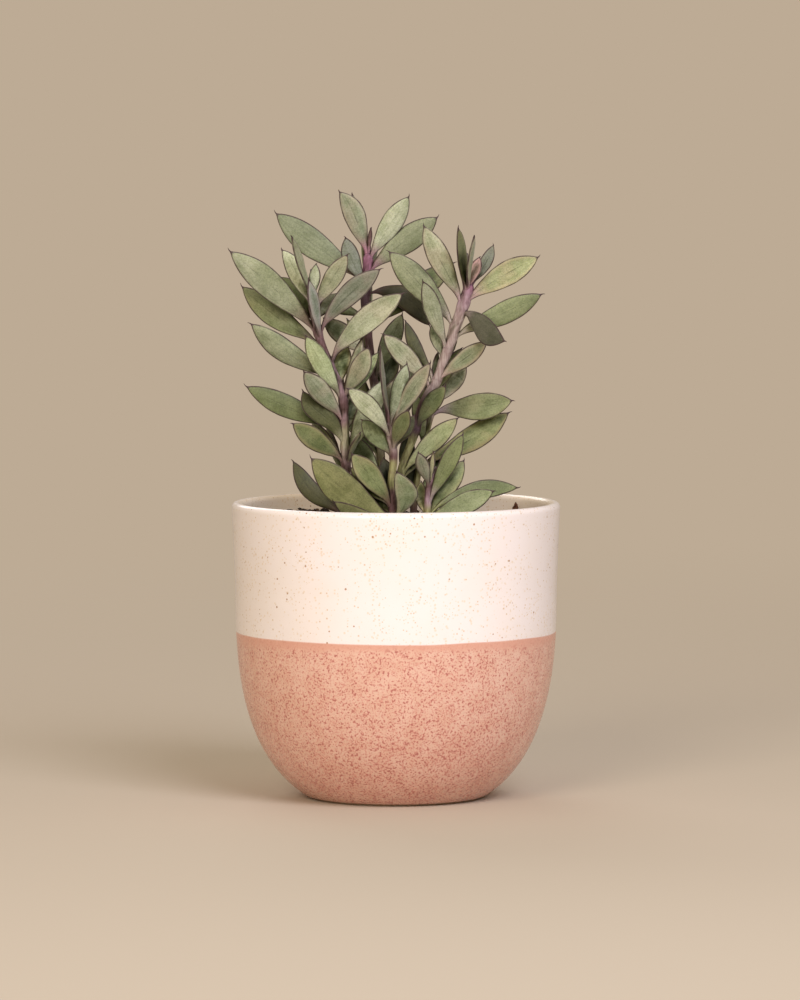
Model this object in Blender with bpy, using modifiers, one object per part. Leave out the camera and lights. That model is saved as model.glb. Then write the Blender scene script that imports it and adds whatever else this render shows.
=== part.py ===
"""A potted senecio: a round-bottomed stoneware pot, the soil in it and six leafy stems.

Sizes and places are in millimetres, and MM turns them into Blender's metres. The origin is the
middle of the pot's foot, +Z is up, -Y is the front and +X is the right.
"""

import math
from typing import NamedTuple

import bmesh
import bpy
from mathutils import Vector

MM = 0.001
MERGE_DISTANCE = 0.00001
GAP = 0.3  # between pieces that touch

# The pot: a straight taper over a bowl whose outline is a superellipse, cut off flat by the foot.
POT_HEIGHT = 140.0
RIM_RADIUS = 77.7
BELLY_RADIUS = 76.0
BELLY_HEIGHT = 100.0
BOWL_DEPTH = 108.0
BOWL_POWER = 2.7
WALL = 5.0
FLOOR_HEIGHT = 7.0
FOOT_BEVEL = 1.2
GLAZE_LINE_HEIGHT = 78.5
CREAM = (0.92, 0.87, 0.78)
PINK = (0.55, 0.30, 0.23)
LIP_POINTS = 5
BOWL_POINTS = 9
TURN_STEPS = 48

# The soil: a low mound a little under the rim.
SOIL_EDGE_HEIGHT = 129.5
SOIL_MIDDLE_HEIGHT = 131.0
SOIL_RINGS = 4

# The stems: each goes straight down a plain hole in the soil.
HOLE_FLOOR = 96.0
HOLE_SIDES = 16
STEM_BEVEL_RESOLUTION = 2

# The leaf: a blade with six-sided sections from its root to its tip.
LEAF_STATIONS = (0.0, 0.14, 0.34, 0.56, 0.76, 0.91)
PETIOLE_HALF_WIDTH = 1.0
WIDEST_POWER = 1.45
OUTLINE_POWER = 0.75
HOOK_SCALE = 256 / 27  # makes the hook's curve 1 at its crest
ROOT_DROP = 3.0  # how far down the stem a leaf's stalk parts from the middle line
ROOT_SHARE = 0.2
LOWEST_ROOT = 133.0
ROOT_THICKNESS = 2.0
TIP_THICKNESS = 0.8
EDGE_THICKNESS = 0.7

# Leaves of the far side stand up at this angle, and are this much narrower than long.
FAR_RISE = math.radians(47)
FAR_SLENDERNESS = 4.2


class Leaf(NamedTuple):
    """A leaf that starts on the stem's middle line at a height and ends at a tip.

    bow shifts the middle of the blade to the left of the way it grows, seen from its face, hook
    shifts its outer part the same way, and turn is how far, in degrees, its face looks to the
    right of the front.
    """

    height: float
    tip: tuple
    width: float
    bow: float = 0.0
    hook: float = 0.0
    turn: float = 0.0


class FarLeaf(NamedTuple):
    """A leaf that starts at a height and points away at an azimuth, counted from +X towards +Y."""

    height: float
    azimuth: float
    length: float


class Stem(NamedTuple):
    """A stem whose path holds (x, y, z, radius) from the soil up."""

    name: str
    path: tuple
    leaves: tuple
    far_leaves: tuple


STEMS = (
    Stem(
        "stem_left",
        path=(
            (-23, -5, 128, 2.2),
            (-23.3, -5, 150, 2.1),
            (-23.8, -5, 165, 2.1),
            (-24.5, -5, 180, 2.1),
            (-25.5, -5, 192, 2.0),
            (-29.3, -5, 201, 1.9),
            (-33.3, -5, 210, 1.9),
            (-36.5, -5, 219, 1.9),
            (-38.8, -5, 229, 1.7),
            (-39.5, -5, 240, 1.3),
        ),
        leaves=(
            Leaf(134.5, (-49.1, 1, 160.4), 8.8, bow=4.4),
            Leaf(160, (-49.4, -15, 178.5), 10.2, bow=0.4),
            Leaf(160, (-40, 8, 178.5), 7, bow=1.6),
            Leaf(158, (-16.6, -16, 174), 6, turn=50),
            Leaf(161, (-5, 2, 199), 11),
            Leaf(167, (-43.9, -11, 194.4), 10, bow=-2.2, hook=3.4),
            Leaf(172, (-19, 6, 192), 7),
            Leaf(176, (-72.1, 0, 195.3), 11, bow=1.6),
            Leaf(179, (-43.8, -24, 203.4), 10),
            Leaf(186, (-7.6, 4, 211.5), 6.5),
            Leaf(189, (-42.8, -18, 220.2), 9.5, bow=0.3),
            Leaf(190, (-12.5, -16, 214.5), 9.5, bow=-1.2),
            Leaf(194, (-22.3, 3, 213.6), 8, bow=1.5),
            Leaf(192, (-15.4, -6, 219), 5, bow=-0.8),
            Leaf(199, (-69.3, -12, 225.7), 11, bow=2.5),
            Leaf(207.5, (4.7, -18, 240), 12, bow=2),
            Leaf(215, (-73.9, 6, 242.6), 11.6, bow=2.2),
            Leaf(217, (-41.2, -20, 246.6), 7, turn=40),
            Leaf(221, (-6.2, -8, 251), 10.5, bow=1.8),
            Leaf(221, (-79.3, -14, 259.8), 13.2, bow=-1),
            Leaf(226, (-55.5, 12, 246.5), 10),
            Leaf(226, (-28, 8, 238.5), 6.5),
            Leaf(231, (-22.2, -14, 258), 9),
            Leaf(233, (-54.5, -8, 260), 8.5, hook=-1.2),
            Leaf(235, (-49, -27, 267), 6, turn=62),
            Leaf(236, (-37.5, -7, 253.2), 5.5),
        ),
        far_leaves=(
            FarLeaf(150, 115, 34),
            FarLeaf(172, 125, 36),
            FarLeaf(186, 100, 30),
            FarLeaf(208, 110, 38),
            FarLeaf(228, 95, 30),
        ),
    ),
    Stem(
        "stem_back",
        path=(
            (-6, 18, 128, 2.0),
            (-7, 18, 160, 1.9),
            (-9, 18, 180, 1.9),
            (-11, 18, 200, 1.9),
            (-13, 18, 216, 1.9),
            (-14, 18, 225, 2.0),
            (-14.8, 18, 235, 2.1),
            (-14.2, 18, 245, 2.2),
            (-13.3, 18, 253, 2.2),
            (-13, 18, 258.5, 1.9),
        ),
        leaves=(
            Leaf(143, (-21, 10, 172), 10),
            Leaf(172, (2, 8, 200), 10),
            Leaf(185, (0, 28, 213), 10),
            Leaf(197, (3.5, 8, 229.5), 9.5),
            Leaf(208, (-35, 12, 226.5), 10),
            Leaf(222, (28.8, 24, 253.2), 12),
            Leaf(227, (-38, 8, 237), 7, bow=0.8),
            Leaf(239, (16.5, 12, 221.5), 11.5, bow=6.8),
            Leaf(242, (-24, 6, 265.5), 8.5, bow=1.5),
            Leaf(245, (-58.3, 24, 276.8), 13.7, bow=1.6),
            Leaf(249, (20.8, 14, 274.9), 12.3),
            Leaf(254, (6.8, 12, 284.9), 10.5),
            Leaf(256, (-27.8, 14, 286.9), 10.5, bow=-1.2, hook=-1.4),
            Leaf(257, (-21.2, 24, 285.8), 7, turn=60),
            Leaf(257, (-11.8, 14, 269.5), 2.2),
            Leaf(256, (-13.6, 18, 264.5), 2.2),
        ),
        far_leaves=(
            FarLeaf(146, 100, 34),
            FarLeaf(160, 160, 32),
            FarLeaf(168, 40, 34),
            FarLeaf(184, 135, 38),
            FarLeaf(198, 120, 38),
            FarLeaf(208, 115, 30),
            FarLeaf(222, 85, 30),
            FarLeaf(236, 75, 38),
            FarLeaf(246, 95, 32),
        ),
    ),
    Stem(
        "stem_right",
        path=(
            (-1, -2, 128, 2.0),
            (0.5, -2, 145, 1.8),
            (3, -2, 157, 1.8),
            (6.5, -2, 166, 1.9),
            (9.3, -2, 174, 2.1),
            (12, -2, 184, 2.1),
            (15.3, -2, 191, 2.2),
            (18.4, -2, 196, 2.2),
            (22.4, -2, 206, 2.3),
            (26.8, -2, 219.5, 2.5),
            (31.3, -2, 232, 2.7),
            (34.4, -2, 242, 2.3),
            (35.3, -2, 245.5, 1.5),
        ),
        leaves=(
            Leaf(154.5, (30, -10, 181), 9.5),
            Leaf(175, (23.9, -14, 196.2), 8.5, bow=0.8),
            Leaf(193, (20, 8, 211), 6, turn=60),
            Leaf(195, (-6.8, -10, 220.4), 9.5),
            Leaf(198, (4.2, 0, 226.5), 6.3, bow=1.8),
            Leaf(198, (43.8, -6, 216.5), 8.5),
            Leaf(203, (29, 6, 220), 4.5),
            Leaf(207, (16.3, 4, 223.5), 5.5),
            Leaf(212.5, (12, -20, 245.8), 8.6, bow=0.8, hook=-0.9),
            Leaf(219, (70.1, 0, 238.8), 11, bow=-0.7),
            Leaf(224, (-4.3, -6, 259.4), 13, bow=-0.2),
            Leaf(231.5, (52.2, -22, 217), 11, hook=-2.8),
            Leaf(234, (12.4, -12, 271.8), 10.6, bow=0.5),
            Leaf(235, (68.2, -6, 256.3), 11.8, bow=1),
            Leaf(238, (29, -20, 270.8), 8, turn=50),
            Leaf(240, (36.8, -24, 267), 8, bow=0.8, turn=65),
            Leaf(241, (39.6, -5, 256.3), 5.5),
            Leaf(242, (46.3, 6, 261.8), 6, bow=-1.2),
        ),
        far_leaves=(
            FarLeaf(150, 25, 30),
            FarLeaf(188, 40, 34),
            FarLeaf(206, 95, 36),
            FarLeaf(220, 70, 32),
            FarLeaf(234, 85, 32),
        ),
    ),
    Stem(
        "stem_mid",
        path=(
            (-1.5, -15, 128, 1.75),
            (-1.5, -15, 137, 1.75),
            (-2.2, -15, 150, 1.75),
            (-1, -15, 160, 1.75),
            (-1.5, -15, 166, 1.7),
            (-3.2, -15, 175, 1.6),
            (-3.5, -15, 182, 1.3),
        ),
        leaves=(
            Leaf(132.5, (-40.8, -26, 163.4), 16, bow=2.7),
            Leaf(133, (-30, -46, 144), 7.5, bow=3.2),
            Leaf(133, (-0.5, -30, 157), 11, bow=-6),
            Leaf(135, (-16, -8, 151), 9),
            Leaf(139, (-22, -18, 158), 9),
            Leaf(139, (-21.5, -28, 165), 11, bow=-0.6),
            Leaf(140, (-6, -8, 162), 8),
            Leaf(162.5, (-16.5, -11, 180), 9),
            Leaf(166, (9, -14, 182), 7),
            Leaf(166, (6.3, -28, 185.5), 8, bow=0.6),
            Leaf(172, (-23.5, -29, 195.6), 9.4, bow=-1.8),
            Leaf(176, (16.8, -27, 208), 8.5),
            Leaf(177, (5.5, -22, 207.5), 8),
            Leaf(179, (-7.4, -34, 215), 8, turn=75),
        ),
        far_leaves=(),
    ),
    Stem(
        "stem_front_right",
        path=(
            (14.5, -22, 128, 1.5),
            (14.8, -22, 140, 1.5),
            (15.2, -22, 147.5, 1.4),
            (16.3, -22, 151, 1.35),
            (18.8, -22, 158, 1.2),
        ),
        leaves=(
            Leaf(134, (46.8, -30, 147.6), 10.2, bow=-0.3),
            Leaf(134.5, (12, -12, 151), 6, bow=1.5),
            Leaf(135, (32.6, -16, 161.5), 10),
            Leaf(137, (59, -8, 147), 9, bow=4),
            Leaf(141, (32, -24, 174.6), 8.5),
            Leaf(149, (10.2, -34, 166), 6.3),
            Leaf(150, (17.6, -27, 166), 2.8),
        ),
        far_leaves=(),
    ),
    Stem(
        "stem_back_right",
        path=(
            (8, 10, 128, 1.6),
            (10, 10, 150, 1.6),
            (13.5, 10, 168, 1.6),
            (16.5, 10, 180, 1.5),
            (19, 10, 188, 1.3),
        ),
        leaves=(
            Leaf(138, (4, 14, 172), 9),
            Leaf(158, (54.8, 14, 182.5), 12, bow=-2.3),
            Leaf(178, (2, 16, 212), 9),
            Leaf(166, (9.5, 5, 192), 7),
            Leaf(183.5, (56.3, 4, 188), 13, bow=-1.4),
            Leaf(185, (34, 12, 203.8), 8),
        ),
        far_leaves=(
            FarLeaf(142, 20, 36),
            FarLeaf(152, 110, 32),
            FarLeaf(168, 82, 34),
            FarLeaf(182, 110, 32),
        ),
    ),
)


def make_material(name, colour, roughness):
    material = bpy.data.materials.new(name)
    material.use_nodes = True
    shader = material.node_tree.nodes["Principled BSDF"]
    shader.inputs["Base Color"].default_value = (*colour, 1.0)
    shader.inputs["Roughness"].default_value = roughness
    shader.inputs["Metallic"].default_value = 0.0
    return material


def make_two_tone(material, low_colour):
    """Gives the material another colour below the glaze line."""
    nodes = material.node_tree.nodes
    links = material.node_tree.links
    shader = nodes["Principled BSDF"]
    place = nodes.new("ShaderNodeNewGeometry")
    split = nodes.new("ShaderNodeSeparateXYZ")
    above = nodes.new("ShaderNodeMath")
    above.operation = "GREATER_THAN"
    above.inputs[1].default_value = GLAZE_LINE_HEIGHT * MM
    mix = nodes.new("ShaderNodeMixRGB")
    mix.inputs["Color1"].default_value = (*low_colour, 1.0)
    mix.inputs["Color2"].default_value = shader.inputs["Base Color"].default_value
    links.new(place.outputs["Position"], split.inputs["Vector"])
    links.new(split.outputs["Z"], above.inputs[0])
    links.new(above.outputs["Value"], mix.inputs["Fac"])
    links.new(mix.outputs["Color"], shader.inputs["Base Color"])


def make_object(name, mesh, collection):
    obj = bpy.data.objects.new(name, mesh)
    collection.objects.link(obj)
    return obj


def make_collection(name):
    collection = bpy.data.collections.new(name)
    bpy.context.scene.collection.children.link(collection)
    return collection


def evaluated_mesh(obj):
    """The mesh that the object has once its modifiers or its curve settings are applied."""
    return bpy.data.meshes.new_from_object(obj.evaluated_get(bpy.context.evaluated_depsgraph_get()))


def wall_radius(height, inset=0.0):
    """The outer wall's radius at a height, or that of the same wall moved in by inset."""
    if height >= BELLY_HEIGHT:
        rise = (height - BELLY_HEIGHT) / (POT_HEIGHT - BELLY_HEIGHT)
        return BELLY_RADIUS - inset + (RIM_RADIUS - BELLY_RADIUS) * rise
    drop = (BELLY_HEIGHT - height) / (BOWL_DEPTH - inset)
    return (BELLY_RADIUS - inset) * (1 - drop**BOWL_POWER) ** (1 / BOWL_POWER)


def bowl_heights(bottom):
    """Heights from the belly down to a bottom, closer together where the wall curves in."""
    return [
        BELLY_HEIGHT - (BELLY_HEIGHT - bottom) * math.sin(math.pi / 2 * step / BOWL_POINTS)
        for step in range(BOWL_POINTS + 1)
    ]


def turned_object(name, profile, collection):
    """A profile of (radius, height) points, from the top axis point outwards and down, turned."""
    mesh = bpy.data.meshes.new(name)
    points = [(radius * MM, 0.0, height * MM) for radius, height in profile]
    mesh.from_pydata(points, [(i, i + 1) for i in range(len(points) - 1)], [])
    obj = make_object(name, mesh, collection)
    screw = obj.modifiers.new("turn", "SCREW")
    screw.steps = TURN_STEPS
    screw.render_steps = TURN_STEPS
    screw.use_merge_vertices = True
    screw.merge_threshold = MERGE_DISTANCE
    screw.use_smooth_shade = True
    return obj


def pot_profile():
    """Down from the middle of the floor, up the inside, over the lip and down the outside."""
    lip_radius = WALL / 2
    lip_height = POT_HEIGHT - lip_radius
    lip_middle = wall_radius(lip_height) - lip_radius
    inside = [(wall_radius(z, WALL), z) for z in reversed(bowl_heights(FLOOR_HEIGHT))]
    lip = [
        (lip_middle - lip_radius * math.cos(angle), lip_height + lip_radius * math.sin(angle))
        for angle in (math.pi * step / (LIP_POINTS - 1) for step in range(LIP_POINTS))
    ]
    outside = [(wall_radius(z), z) for z in bowl_heights(FOOT_BEVEL)]
    foot = [(wall_radius(0.0) - FOOT_BEVEL, 0.0), (0.0, 0.0)]
    return [(0.0, FLOOR_HEIGHT), *inside, *lip, *outside, *foot]


def make_pot(collection):
    pot = turned_object("pot", pot_profile(), collection)
    glaze = make_material("pot_glaze", CREAM, 0.35)
    make_two_tone(glaze, PINK)
    pot.data.materials.append(glaze)
    return pot


def soil_profile():
    """Down the mound from its middle, down beside the pot's wall and in along its floor."""
    inset = WALL + GAP
    bottom = FLOOR_HEIGHT + GAP
    edge = wall_radius(SOIL_EDGE_HEIGHT, inset)
    fall = SOIL_MIDDLE_HEIGHT - SOIL_EDGE_HEIGHT
    mound = [
        (edge * part, SOIL_MIDDLE_HEIGHT - fall * part**2)
        for part in (ring / SOIL_RINGS for ring in range(SOIL_RINGS + 1))
    ]
    side = [(wall_radius(z, inset), z) for z in bowl_heights(bottom)]
    return [*mound, *side, (0.0, bottom)]


def make_soil(collection, cutters):
    """The soil, with a plain hole for each stem."""
    soil = turned_object("soil", soil_profile(), collection)
    soil.data.materials.append(make_material("soil_earth", (0.035, 0.022, 0.015), 0.95))
    for stem in STEMS:
        cutter = make_hole_cutter(stem, cutters)
        cut = soil.modifiers.new("hole_" + stem.name, "BOOLEAN")
        cut.operation = "DIFFERENCE"
        cut.object = cutter
        cut.solver = "EXACT"
    return soil


def make_hole_cutter(stem, cutters):
    """A cylinder round the buried end of a stem, GAP wider and deeper than it."""
    x, y, _, foot_radius = stem.path[0]
    height = POT_HEIGHT - HOLE_FLOOR
    cutter_mesh = bpy.data.meshes.new("hole_" + stem.name)
    shape = bmesh.new()
    radius = (foot_radius + GAP) * MM
    bmesh.ops.create_cone(
        shape, cap_ends=True, segments=HOLE_SIDES, radius1=radius, radius2=radius, depth=height * MM
    )
    shape.to_mesh(cutter_mesh)
    shape.free()
    cutter = make_object("hole_" + stem.name, cutter_mesh, cutters)
    cutter.location = Vector((x, y, HOLE_FLOOR + height / 2)) * MM
    cutter.hide_render = True
    cutter.display_type = "WIRE"
    return cutter


def stem_point(stem, height):
    """The point of the stem's middle line at a height."""
    for low, high in zip(stem.path, stem.path[1:]):
        if height <= high[2]:
            break
    share = (height - low[2]) / (high[2] - low[2])
    return Vector(low[:3]).lerp(Vector(high[:3]), share)


def far_leaf(stem, row):
    """The leaf that a row of the far side stands for, upright in the plane through its stem."""
    azimuth = math.radians(row.azimuth)
    outward = Vector((math.cos(azimuth), math.sin(azimuth), 0.0)) * math.cos(FAR_RISE)
    along = outward + Vector((0.0, 0.0, math.sin(FAR_RISE)))
    tip = stem_point(stem, row.height) + along * row.length
    return Leaf(row.height, tuple(tip), row.length / FAR_SLENDERNESS, turn=row.azimuth)


def all_leaves(stem):
    return [*stem.leaves, *(far_leaf(stem, row) for row in stem.far_leaves)]


def half_width(leaf, along):
    """A blade's half width at a share of its length: a slim root, widest past the middle."""
    outline = math.sin(math.pi * along**WIDEST_POWER) ** OUTLINE_POWER
    return max(leaf.width / 2 * outline, PETIOLE_HALF_WIDTH)


def blade_frame(stem, leaf):
    """The blade's root, and its directions: along it, across it and out of its face."""
    root = stem_point(stem, leaf.height)
    reach = Vector(leaf.tip) - root
    along = reach.normalized()
    turn = math.radians(leaf.turn)
    front = Vector((math.sin(turn), -math.cos(turn), 0.0))
    face = (front - along * front.dot(along)).normalized()
    return root, reach, face.cross(along), face


def blade_middle(stem, leaf, along):
    """The middle of the blade at a share of its length; its stalk leaves the stem up the stem."""
    root, reach, across, _ = blade_frame(stem, leaf)
    start = stem_point(stem, max(leaf.height - ROOT_DROP, min(leaf.height, LOWEST_ROOT)))
    clasp = max(1 - along / ROOT_SHARE, 0.0) ** 2
    bow = leaf.bow * 4 * along * (1 - along)
    hook = leaf.hook * HOOK_SCALE * along**3 * (1 - along)
    return root + reach * along + (start - root) * clasp + across * (bow + hook)


def blade_mesh(stem, leaf, name):
    """A closed blade: six-sided rings from the root on, and a point at the tip."""
    root, reach, across, face = blade_frame(stem, leaf)
    points = []
    for along in LEAF_STATIONS:
        middle = blade_middle(stem, leaf, along)
        side = across * half_width(leaf, along)
        edge = face * EDGE_THICKNESS / 2
        ridge = face * (ROOT_THICKNESS + (TIP_THICKNESS - ROOT_THICKNESS) * along**2) / 2
        points += [
            middle - side + edge,
            middle + ridge,
            middle + side + edge,
            middle + side - edge,
            middle - ridge,
            middle - side - edge,
        ]
    points.append(root + reach)
    mesh = bpy.data.meshes.new(name)
    mesh.from_pydata([point * MM for point in points], [], blade_faces())
    return mesh


def blade_faces():
    """Triangles split alike on both faces of the blade, so that they never cross."""
    sides = 6
    rings = len(LEAF_STATIONS)
    faces = [(0, side + 1, side) for side in range(1, sides - 1)]
    for ring in range(rings - 1):
        for side in range(sides):
            near_a = ring * sides + side
            near_b = ring * sides + (side + 1) % sides
            far_a = near_a + sides
            far_b = near_b + sides
            if side < sides // 2:
                faces += [(near_a, near_b, far_b), (near_a, far_b, far_a)]
            else:
                faces += [(near_a, near_b, far_a), (near_b, far_b, far_a)]
    last = (rings - 1) * sides
    tip = rings * sides
    faces += [(last + side, last + (side + 1) % sides, tip) for side in range(sides)]
    return faces


def stem_mesh(stem, collection):
    """A round rod along the stem's path, made into a closed mesh."""
    curve = bpy.data.curves.new(stem.name, "CURVE")
    curve.dimensions = "3D"
    curve.bevel_depth = MM
    curve.bevel_resolution = STEM_BEVEL_RESOLUTION
    curve.use_fill_caps = True
    foot_x, foot_y, _, foot_radius = stem.path[0]
    points = [(foot_x, foot_y, HOLE_FLOOR + GAP, foot_radius), *stem.path]
    spline = curve.splines.new("POLY")
    spline.points.add(len(points) - 1)
    for point, (x, y, z, radius) in zip(spline.points, points):
        point.co = (x * MM, y * MM, z * MM, 1.0)
        point.radius = radius
    rod = make_object(stem.name + "_curve", curve, collection)
    mesh = evaluated_mesh(rod)
    bpy.data.objects.remove(rod)
    shape = bmesh.new()
    shape.from_mesh(mesh)
    bmesh.ops.remove_doubles(shape, verts=shape.verts, dist=MERGE_DISTANCE)
    shape.to_mesh(mesh)
    shape.free()
    return mesh


def make_leafy_stem(stem, collection):
    """A stem with its leaves joined to it in one solid."""
    obj = make_object(stem.name, stem_mesh(stem, collection), collection)
    blades = make_collection(stem.name + "_blades")
    for number, leaf in enumerate(all_leaves(stem)):
        name = f"{stem.name}_blade_{number}"
        make_object(name, blade_mesh(stem, leaf, name), blades)
    union = obj.modifiers.new("join_leaves", "BOOLEAN")
    union.operation = "UNION"
    union.operand_type = "COLLECTION"
    union.collection = blades
    union.solver = "EXACT"
    joined = evaluated_mesh(obj)
    obj.modifiers.clear()
    obj.data = joined
    for blade in list(blades.objects):
        bpy.data.objects.remove(blade)
    bpy.data.collections.remove(blades)
    obj.data.materials.clear()
    obj.data.materials.append(make_material(stem.name + "_leaf", (0.22, 0.27, 0.16), 0.55))
    return obj


def main():
    for old in list(bpy.data.objects):
        bpy.data.objects.remove(old)
    parts = make_collection("potted_senecio")
    cutters = make_collection("cutters")
    make_pot(parts)
    make_soil(parts, cutters)
    for stem in STEMS:
        make_leafy_stem(stem, parts)


main()
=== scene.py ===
"""The looks of a potted senecio: glazed stoneware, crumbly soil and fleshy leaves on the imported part.

Sizes and places are in millimetres in the part's own frame, and MM turns them into Blender's
metres: the origin is the middle of the pot's foot, +Z is up, -Y is the front and +X the right.
The pot's outline and the rows of leaves repeat those of the part, in the same units.
"""

import math
import random
from typing import NamedTuple

import bpy
from mathutils import Euler, Matrix, Vector, noise
from mathutils.bvhtree import BVHTree

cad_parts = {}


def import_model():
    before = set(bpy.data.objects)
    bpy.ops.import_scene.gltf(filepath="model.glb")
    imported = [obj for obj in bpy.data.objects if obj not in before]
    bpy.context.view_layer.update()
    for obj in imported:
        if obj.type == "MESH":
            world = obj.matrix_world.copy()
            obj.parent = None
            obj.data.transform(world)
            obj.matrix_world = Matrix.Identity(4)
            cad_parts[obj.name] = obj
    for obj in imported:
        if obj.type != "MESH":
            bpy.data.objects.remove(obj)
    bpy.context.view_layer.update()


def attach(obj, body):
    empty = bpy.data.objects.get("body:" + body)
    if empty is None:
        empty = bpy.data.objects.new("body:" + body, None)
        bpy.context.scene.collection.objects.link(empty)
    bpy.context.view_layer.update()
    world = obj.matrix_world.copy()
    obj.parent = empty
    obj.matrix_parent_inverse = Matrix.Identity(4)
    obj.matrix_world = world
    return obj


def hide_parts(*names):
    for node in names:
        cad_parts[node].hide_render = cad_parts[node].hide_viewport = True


MM = 0.001

# The pot, as in the part: a straight taper over a superellipse bowl, cut off flat by the foot.
POT_HEIGHT = 140.0
RIM_RADIUS = 77.7
BELLY_RADIUS = 76.0
BELLY_HEIGHT = 100.0
BOWL_DEPTH = 108.0
BOWL_POWER = 2.7
WALL = 5.0
FLOOR_HEIGHT = 7.0
FOOT_BEVEL = 1.2
GLAZE_LINE_HEIGHT = 79.0
GLAZE_LINE_WOBBLE = 1.4
THROWN_WAVES = ((55.0, 0.22), (17.0, 0.07))  # lengths and heights of the waves in its wall
LIP_POINTS = 15
BOWL_POINTS = 70
WALL_POINTS = 24
BEVEL_POINTS = 4
POT_STEPS = 192

# The soil: a low mound with crumbs on it, a heap at the back left that shows over the rim, and a
# scrap that leans on the wall at the back right, turned by angles in radians.
SOIL_GAP = 0.3
SOIL_EDGE_HEIGHT = 129.5
SOIL_MIDDLE_HEIGHT = 131.0
SOIL_RINGS = 46
INNER_RING = 0.3  # the innermost ring's radius, as a share of the distance between rings
SOIL_STEPS = 160
HEAP_PLACE = (-46.0, 48.0)
HEAP_REACH = (15.0, 14.0)
HEAP_HEIGHT = 3.0
LUMP_SIZE = 7.0
LUMP_RISE = 0.8
WAVE_SIZE = 24.0
WAVE_RISE = 0.9
CRUMB_SEED = 11
CRUMB_COUNT = 1100
CRUMB_REACH = 70.0
CRUMB_LENGTH = 0.45
CRUMB_LENGTH_SPREAD = 1.5
CRUMB_RINGS = 5
CRUMB_SIDES = 7
SCRAP_PLACE = (57.2, 41.4, 133.2)
SCRAP_SIZE = (1.6, 0.9, 3.0)
SCRAP_TURN = (-0.12, 0.16, 0.6)

# The leaves and stems, as in the part.
HOLE_FLOOR = 96.0
PETIOLE_HALF_WIDTH = 1.0
WIDEST_POWER = 1.45
OUTLINE_POWER = 0.75
HOOK_SCALE = 256 / 27  # the most that share**3 * (1 - share) comes to is 27 / 256
ROOT_DROP = 3.0
ROOT_SHARE = 0.2
LOWEST_ROOT = 133.0
ROOT_THICKNESS = 2.0
TIP_THICKNESS = 0.8
EDGE_THICKNESS = 0.7
FAR_RISE = math.radians(47)
FAR_SLENDERNESS = 4.2

# How finely the leaves are made here.
LEAF_SEED = 100
BLADE_STATIONS = 40
BLADE_SIDES = 20
BLADE_ARCH = 0.035  # as a share of its length
BLADE_CUP = 0.13
BLADE_TWIST = 0.25
POINT_HALF_WIDTH = 0.45
POINT_START = 0.96  # where the blade's outline ends in a short dark point
POINT_CURL = 0.7
MARGIN_WAVE = 0.16
MARGIN_RIPPLE = 0.35
# Painted shade: how much darker a leaf is towards its root, next to its stem.
PAINTED_ROOT_SHADE = 0.16
STALK_COLOUR_REACH = (0.04, 0.30)  # shares of the length over which a stalk turns green

# A stem has ribs, narrows at its top, and swells and is scarred a little below each leaf.
ROD_STEP = 1.2
ROD_SIDES = 24
ROD_TAPER = 4.5
ROD_TIP = 0.3
RIBS = 5
RIB_DEPTH = 0.03
RIB_TWIST = 0.05
SWELL = 0.5
SWELL_DROP = 1.0
SWELL_REACH = 2.2
SCAR_DROP = 0.2
SCAR_REACH = 0.55
SCAR_DARKNESS = 0.5

# What stands near a leaf keeps light off it. Rays go out from it to rings of the sky, each of a
# height in degrees and a number of ways. One that ends within SHELTER_REACH counts, the nearer the
# more. Their share past SHELTER_FREE darkens the leaf by a power for red, green and blue, and the
# leaf loses SHELTER_GLOSS times that share of its gloss.
SKY_RINGS = ((5, 8), (35, 6), (65, 3))
SHELTER_REACH = 55.0
SHELTER_START = 0.3
SHELTER_FREE = 0.17
SHELTER_POWERS = (3.2, 3.1, 3.8)
SHELTER_GLOSS = 2

# Colours as sRGB bytes, first those of the lit leaves.
TONES = {
    "cream": (196, 201, 172),
    "spring": (186, 196, 154),
    "lime": (172, 180, 137),
    "sage": (176, 182, 155),
    "pale": (159, 164, 137),
    "fresh": (153, 162, 113),
    "moss": (147, 153, 123),
    "green": (139, 148, 107),
    "fern": (121, 130, 88),
    "blue": (159, 166, 154),
    "slate": (129, 132, 113),
    "olive": (135, 136, 89),
    # Painted shade: dark, deep, dusk and shade are darker copies of the leaves' colour for leaves in the
    # shade of the clump.
    "dark": (99, 101, 65),
    "deep": (81, 83, 49),
    "dusk": (87, 86, 70),
    "shade": (59, 61, 34),
    "rose": (182, 156, 146),
    "pink": (136, 102, 106),
}
FAR_TONES = ("fern", "green", "slate", "olive", "fern")

CREAM_GLAZE = ((247, 239, 239), (246, 237, 234))
# Painted shade: a warmer, darker tint for the glaze on the inner wall.
INSIDE_PAINTED_SHADE = (255, 248, 230)
CREAM_SPECKS = (
    # cell size, largest radius and how many cells have one, as shares, strength, colour
    (1.5, 0.50, 1.1, 0.48, (228, 204, 168)),
    (1.6, 0.36, 0.75, 0.65, (206, 172, 124)),
    (4.0, 0.19, 0.7, 0.85, (166, 122, 78)),
)
PINK_GLAZE = ((230, 191, 172), (225, 183, 162))
PINK_PEPPER = (210, 137, 126)
RED_PEPPER = (172, 97, 90)
LOW_RED = (160, 100, 90)
PINK_BAND = (222, 167, 148)
BARE_CLAY = (205, 184, 160)

SOIL_TONE = (66, 50, 40)
SOIL_GRAIN = (92, 70, 54)
SOIL_STAIN = (96, 72, 54)
CRUMB_TONES = ((58, 44, 36), (78, 58, 44), (44, 34, 28), (96, 70, 50), (52, 44, 40))
SCRAP_TONE = (104, 66, 44)

LEAF_DEEP = (216, 221, 208)
LEAF_STREAK = (196, 203, 182)
LEAF_BLUSH = (246, 216, 226)
LEAF_VEIN = (116, 120, 92)
LEAF_MOTTLE = (142, 146, 122)
LEAF_SPOT = (140, 122, 112)
LEAF_MARGIN = (64, 42, 44)
LEAF_POINT = (62, 40, 44)
BARK_DEEP = (222, 212, 214)
BARK_STAIN = (104, 76, 80)

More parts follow.
